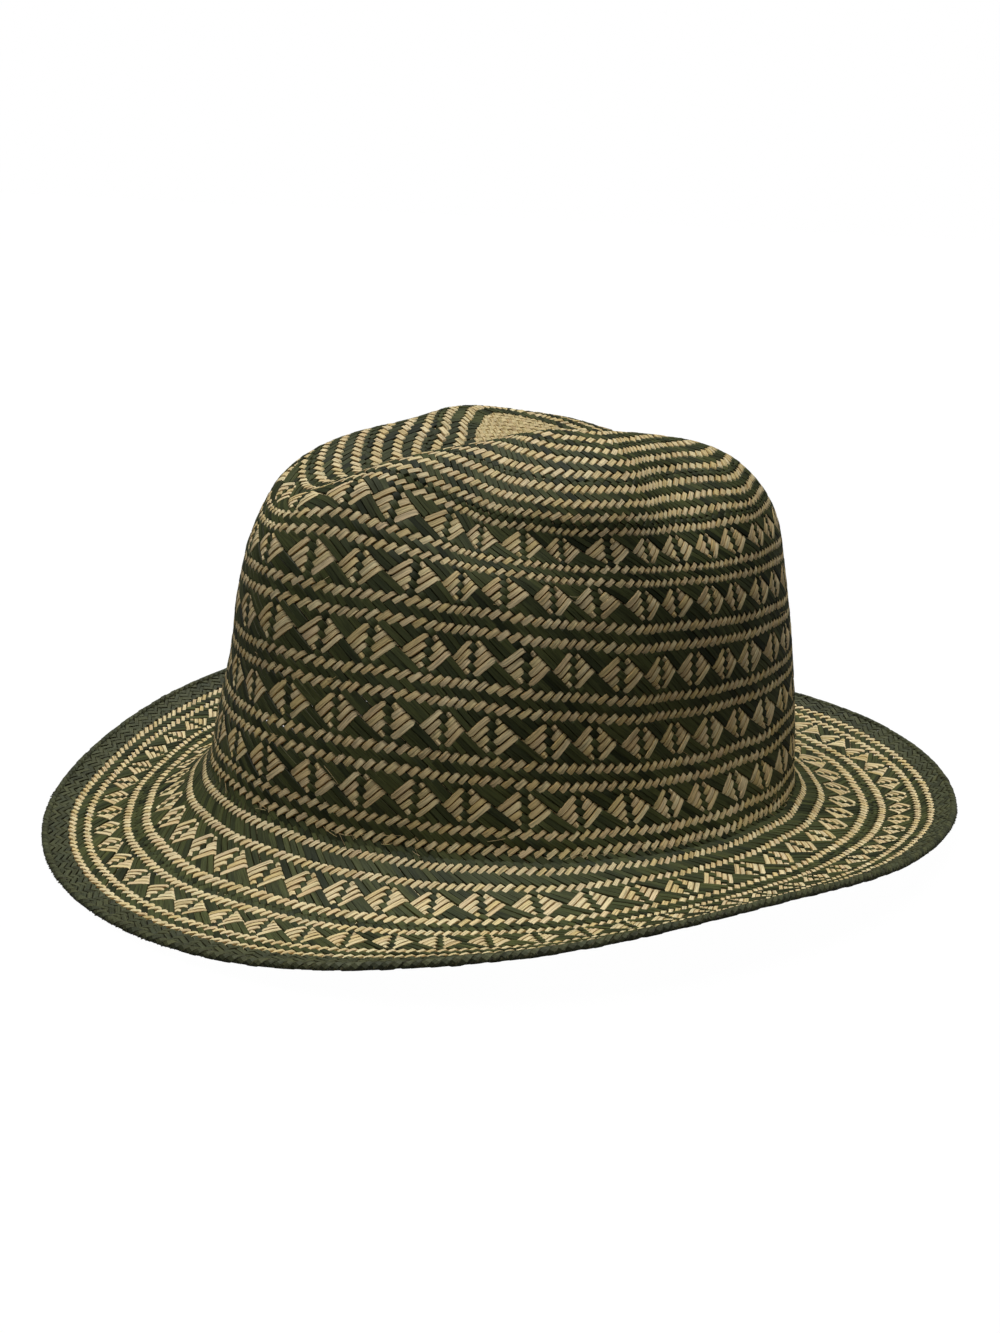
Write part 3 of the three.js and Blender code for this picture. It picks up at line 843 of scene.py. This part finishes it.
def math(tree, operation, a, b=None, c=None, clamp=False):
    """A math node on up to three values, which may be sockets or numbers."""
    made = node(tree, "ShaderNodeMath", operation=operation, use_clamp=clamp)
    for socket, value in zip(made.inputs, (a, b, c)):
        if isinstance(value, bpy.types.NodeSocket):
            tree.links.new(value, socket)
        elif value is not None:
            socket.default_value = value
    return made.outputs[0]


def mix_colour(tree, factor, a, b, blend="MIX"):
    """A colour mix whose factor and colours may be sockets or values."""
    made = node(tree, "ShaderNodeMix", data_type="RGBA", blend_type=blend)
    for socket, value in zip((made.inputs[0], made.inputs[6], made.inputs[7]), (factor, a, b)):
        if isinstance(value, bpy.types.NodeSocket):
            tree.links.new(value, socket)
        else:
            socket.default_value = value
    return made.outputs[2]


def noise(tree, place, dimensions, detail, roughness=0.5):
    """A noise at unit scale over a place that is made of up to three sockets."""
    vector = node(tree, "ShaderNodeCombineXYZ")
    for part, socket in zip(place, vector.inputs):
        tree.links.new(part, socket)
    made = node(tree, "ShaderNodeTexNoise", noise_dimensions=dimensions)
    for name, value in (("Scale", 1.0), ("Detail", detail), ("Roughness", roughness)):
        made.inputs[name].default_value = value
    tree.links.new(vector.outputs[0], made.inputs["Vector"])
    return made.outputs[0]


# Steps of the noise across a strand and along it, and how far one strand's noise is from another's
GRAIN_ACROSS, GRAIN_ALONG, GRAIN_APART = 3.2, 0.12, 371.0
PATCH_ALONG, PATCH_APART = 0.09, 913.0
# A strand's tone times these, less the whole part, gives its shade and its tint
SHADE_TURNS, TINT_TURNS = 7.31, 23.7
# A streak is the grain times the first plus the second, up to the third. Gloss goes with the grain.
STREAK_GAIN, STREAK_START, STREAK_MOST = 2.8, -0.42, 1.15
ROUGHEST, GRAIN_GLOSS = 0.8, -0.3
# The darkened strand edges are painted shade in the gaps between strands: where across the strand the
# darkening starts, and the colour multipliers of a strand's middle and of its edges
PAINTED_SHADE_FROM, UNSHADED_GAIN, PAINTED_GAP_SHADE = 0.6, (1.04, 1.04, 1.04, 1), (0.5, 0.37, 0.19, 1)

straw_group, given, result = new_group(
    "straw_grain",
    [("Pale", "NodeSocketColor", (0.6, 0.5, 0.3, 1)), ("Deep", "NodeSocketColor", (0.4, 0.3, 0.15, 1)),
     ("Tint", "NodeSocketColor", (0.5, 0.4, 0.3, 1)), ("Groove", "NodeSocketFloat", 0.5)],
    [("Color", "NodeSocketColor"), ("Roughness", "NodeSocketFloat"), ("Height", "NodeSocketFloat")],
)
fibre = node(straw_group, "ShaderNodeAttribute", attribute_name="fibre")
split = node(straw_group, "ShaderNodeSeparateXYZ")
straw_group.links.new(fibre.outputs["Vector"], split.inputs[0])
across, along, tone = split.outputs

grain = noise(straw_group, (
    math(straw_group, "MULTIPLY", across, GRAIN_ACROSS),
    math(straw_group, "MULTIPLY", along, GRAIN_ALONG),
    math(straw_group, "MULTIPLY", tone, GRAIN_APART),
), "3D", 3.0, 0.65)
patch = noise(straw_group, (
    math(straw_group, "MULTIPLY", along, PATCH_ALONG),
    math(straw_group, "MULTIPLY", tone, PATCH_APART),
), "2D", 1.0)

shade = math(straw_group, "FRACT", math(straw_group, "MULTIPLY", tone, SHADE_TURNS))
tinted = math(straw_group, "FRACT", math(straw_group, "MULTIPLY", tone, TINT_TURNS))
base = mix_colour(straw_group, shade, given.outputs["Pale"], given.outputs["Deep"])
base = mix_colour(straw_group, math(straw_group, "MULTIPLY", tinted, patch),
                  base, given.outputs["Tint"])
streak = math(straw_group, "MULTIPLY_ADD", grain, STREAK_GAIN, STREAK_START)
streak = math(straw_group, "MINIMUM", streak, STREAK_MOST)
# Painted shade: each strand's colour turns darker and browner towards both of its edges
edge_shade = node(straw_group, "ShaderNodeMapRange", interpolation_type="SMOOTHSTEP")
straw_group.links.new(math(straw_group, "ABSOLUTE", across), edge_shade.inputs["Value"])
for socket, value in (("From Min", PAINTED_SHADE_FROM), ("From Max", 1.0), ("To Min", 0.0), ("To Max", 1.0)):
    edge_shade.inputs[socket].default_value = value
gap_shade_colour = mix_colour(straw_group, edge_shade.outputs["Result"], UNSHADED_GAIN, PAINTED_GAP_SHADE)
grey = node(straw_group, "ShaderNodeCombineColor")
for socket in grey.inputs:
    straw_group.links.new(streak, socket)
base = mix_colour(straw_group, 1.0, base, grey.outputs[0], "MULTIPLY")
base = mix_colour(straw_group, 1.0, base, gap_shade_colour, "MULTIPLY")
straw_group.links.new(base, result.inputs["Color"])
straw_group.links.new(math(straw_group, "MULTIPLY_ADD", grain, GRAIN_GLOSS, ROUGHEST),
                      result.inputs["Roughness"])
straw_group.links.new(math(straw_group, "MULTIPLY", grain, given.outputs["Groove"]),
                      result.inputs["Height"])
print("nodes in the straw group:", len(straw_group.nodes))


# %% Straw materials
# The relief of the grain in metres, and how strongly it shows
GROOVE_RELIEF, GROOVE_STRENGTH = 0.0001, 0.6


def straw(name, pale, deep, tint, groove, sheen):
    """A straw finish of its own colours on the shared grain."""
    material = bpy.data.materials.new(name)
    material.use_nodes = True
    tree = material.node_tree
    shader = tree.nodes["Principled BSDF"]
    shader.inputs["Specular IOR Level"].default_value = sheen
    body = node(tree, "ShaderNodeGroup", node_tree=straw_group)
    for socket, value in (("Pale", pale), ("Deep", deep), ("Tint", tint)):
        body.inputs[socket].default_value = (*value, 1)
    body.inputs["Groove"].default_value = groove
    bump = node(tree, "ShaderNodeBump")
    bump.inputs["Distance"].default_value = GROOVE_RELIEF
    bump.inputs["Strength"].default_value = GROOVE_STRENGTH
    tree.links.new(body.outputs["Height"], bump.inputs["Height"])
    tree.links.new(bump.outputs[0], shader.inputs["Normal"])
    tree.links.new(body.outputs["Color"], shader.inputs["Base Color"])
    tree.links.new(body.outputs["Roughness"], shader.inputs["Roughness"])
    return material


natural_straw = straw(
    "natural_straw", pale=(0.71, 0.61, 0.35), deep=(0.58, 0.45, 0.19), tint=(0.60, 0.44, 0.26),
    groove=1.0, sheen=0.3)
green_straw = straw(
    "green_straw", pale=(0.074, 0.083, 0.024), deep=(0.008, 0.012, 0.002),
    tint=(0.046, 0.056, 0.022), groove=1.0, sheen=0.22)
# Painted sheen: the edge's green is paler and greyer than the green of crown and brim, for the light
# its strands reflect
edge_straw = straw(
    "edge_straw", pale=(0.080, 0.084, 0.034), deep=(0.030, 0.034, 0.014),
    tint=(0.058, 0.068, 0.036), groove=1.0, sheen=0.3)
tip_straw = straw(
    "tip_straw", pale=(0.66, 0.55, 0.28), deep=(0.52, 0.42, 0.19), tint=(0.55, 0.40, 0.21),
    groove=1.0, sheen=0.4)

for piece, material, slot in (
    (crown_natural, natural_straw, "two_tone_weave"), (brim_natural, natural_straw, "two_tone_weave"),
    (crown_green, green_straw, "two_tone_weave"), (brim_green, green_straw, "two_tone_weave"),
    (tip_strands, tip_straw, "natural_straw"), (fibres, natural_straw, "two_tone_weave"),
    (edge_strands, edge_straw, "green_straw"), (edge_cord, edge_straw, "green_straw"),
):
    piece.data.materials.append(material)

# %% [markdown]
# ## Floor and light
#
# The photograph has a plain white ground. A large soft light overhead and a weaker panel at the
# hat's front leave the wall of the crown darker than its top, and let each strand cast a small
# shadow on the next. The floor throws a little light back under the brim. The camera sees it
# washed out to white, except under the crown, where white would shine through the weave, and
# from below it is clear, so that the underside can be looked at.

# %% Floor
FLOOR_RADIUS, FLOOR_CORNERS = 60.0, 96
WASHED_OUT, WASHED_SHARE = 1.1, 0.9
# The place on the floor is stretched and shifted until the crown's oval has a radius of about 1
OVAL_STRETCH, OVAL_SHIFT = (10.7, 8.5, 0), (0.04, 0, 0)
# Outside it, the white sets in as the radius times the first plus the second
OVAL_GAIN, OVAL_START = 7.0, -6.8
ring = np.linspace(0, 2 * np.pi, FLOOR_CORNERS, endpoint=False)
floor_points = np.stack([FLOOR_RADIUS * np.cos(ring), FLOOR_RADIUS * np.sin(ring), 0 * ring], -1)
floor_mesh = bpy.data.meshes.new("floor")
floor_mesh.from_pydata(floor_points.tolist(), [], [list(range(len(ring)))])
floor = bpy.data.objects.new("floor", floor_mesh)
bpy.context.scene.collection.objects.link(floor)
floor_paint = bpy.data.materials.new("floor_paint")
floor_paint.use_nodes = True
paint = floor_paint.node_tree
matt = paint.nodes["Principled BSDF"]
matt.inputs["Base Color"].default_value = (0.16, 0.16, 0.16, 1)
matt.inputs["Roughness"].default_value = 0.9
matt.inputs["Specular IOR Level"].default_value = 0.1
washed_out = node(paint, "ShaderNodeEmission")
washed_out.inputs["Strength"].default_value = WASHED_OUT
stretched = node(paint, "ShaderNodeVectorMath", operation="MULTIPLY_ADD")
stretched.inputs[1].default_value = OVAL_STRETCH
stretched.inputs[2].default_value = OVAL_SHIFT
paint.links.new(node(paint, "ShaderNodeTexCoord").outputs["Object"], stretched.inputs[0])
from_middle = node(paint, "ShaderNodeVectorMath", operation="LENGTH")
paint.links.new(stretched.outputs[0], from_middle.inputs[0])
outside_head = math(
    paint, "MULTIPLY_ADD", from_middle.outputs["Value"], OVAL_GAIN, OVAL_START, clamp=True)
to_camera = node(paint, "ShaderNodeLightPath").outputs["Is Camera Ray"]
share_seen = math(paint, "MULTIPLY", to_camera, WASHED_SHARE)
share_seen = math(paint, "MULTIPLY", share_seen, outside_head)
seen_floor = node(paint, "ShaderNodeMixShader")
paint.links.new(share_seen, seen_floor.inputs[0])
paint.links.new(matt.outputs[0], seen_floor.inputs[1])
paint.links.new(washed_out.outputs[0], seen_floor.inputs[2])
one_sided = node(paint, "ShaderNodeMixShader")
paint.links.new(node(paint, "ShaderNodeNewGeometry").outputs["Backfacing"], one_sided.inputs[0])
paint.links.new(seen_floor.outputs[0], one_sided.inputs[1])
paint.links.new(node(paint, "ShaderNodeBsdfTransparent").outputs[0], one_sided.inputs[2])
paint.links.new(one_sided.outputs[0], paint.nodes["Material Output"].inputs["Surface"])
floor_mesh.materials.append(floor_paint)
print("floor reaches", FLOOR_RADIUS, "m each way")


# %% Lights
def soft_sun(name, place, angle, strength):
    """A sun as wide and soft as a large panel, so many degrees across, that shines from a place
    towards the origin."""
    data = bpy.data.lights.new(name, "SUN")
    data.angle, data.energy = np.radians(angle), strength
    light = bpy.data.objects.new(name, data)
    light.rotation_mode = "QUATERNION"
    light.rotation_quaternion = Vector(place).to_track_quat("Z", "Y")
    bpy.context.scene.collection.objects.link(light)
    print(name, "is", angle, "degrees wide")


soft_sun("overhead", place=(-0.1, 0.04, 1.0), angle=42, strength=2.75)
soft_sun("side_panel", place=(0.04, -0.5, 0.95), angle=24, strength=0.55)

world = bpy.data.worlds.new("studio")
bpy.context.scene.world = world
world.use_nodes = True
sky = world.node_tree
sky.nodes["Background"].inputs["Color"].default_value = (1, 1, 1, 1)
sky.nodes["Background"].inputs["Strength"].default_value = 0.05
seen = node(sky, "ShaderNodeBackground")
seen.inputs["Color"].default_value = (1, 1, 1, 1)
seen.inputs["Strength"].default_value = 1.0
choose = node(sky, "ShaderNodeMixShader")
path = node(sky, "ShaderNodeLightPath")
sky.links.new(path.outputs["Is Camera Ray"], choose.inputs[0])
sky.links.new(sky.nodes["Background"].outputs[0], choose.inputs[1])
sky.links.new(seen.outputs[0], choose.inputs[2])
sky.links.new(choose.outputs[0], sky.nodes["World Output"].inputs["Surface"])
bpy.context.scene.view_settings.view_transform = "Standard"
